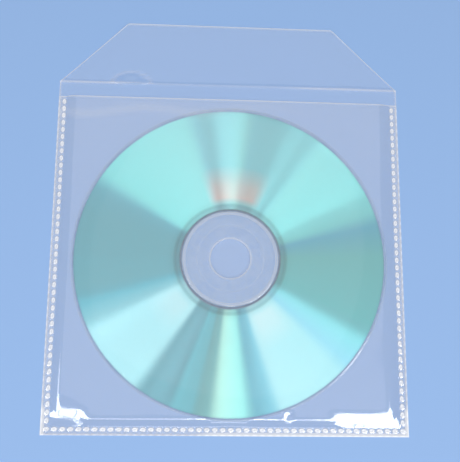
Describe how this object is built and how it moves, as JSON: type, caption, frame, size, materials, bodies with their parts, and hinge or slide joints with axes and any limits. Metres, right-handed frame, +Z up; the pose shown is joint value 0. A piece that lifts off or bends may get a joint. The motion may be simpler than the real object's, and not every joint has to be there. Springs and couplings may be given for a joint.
{
  "type": "cd sleeve",
  "caption": "Clear film disc sleeve with dotted welds on three sides and a trapezoid flap, lying flat and open with a recordable disc inside.",
  "frame": {"origin": "on the resting plane, under the middle of the whole outline with the flap open", "axes": "+X to the right, +Y from the welded bottom edge to the flap, +Z up out of the lying sleeve"},
  "size_m": [0.134, 0.16, 0.0016],
  "materials": {
    "clear_film": "clear cast polypropylene film, glossy, faintly milky, with pressed weld dots",
    "clear_polycarbonate": "clear moulded polycarbonate, polished",
    "dyed_metal": "pale cyan dyed metal layer behind fine circular grooves, reflecting in radial streaks"
  },
  "bodies": {
    "root": {"back_sheet": "clear_film", "front_sheet": "clear_film", "disc_substrate": "clear_polycarbonate", "disc_reflective_layer": "dyed_metal"}
  },
  "joints": []
}
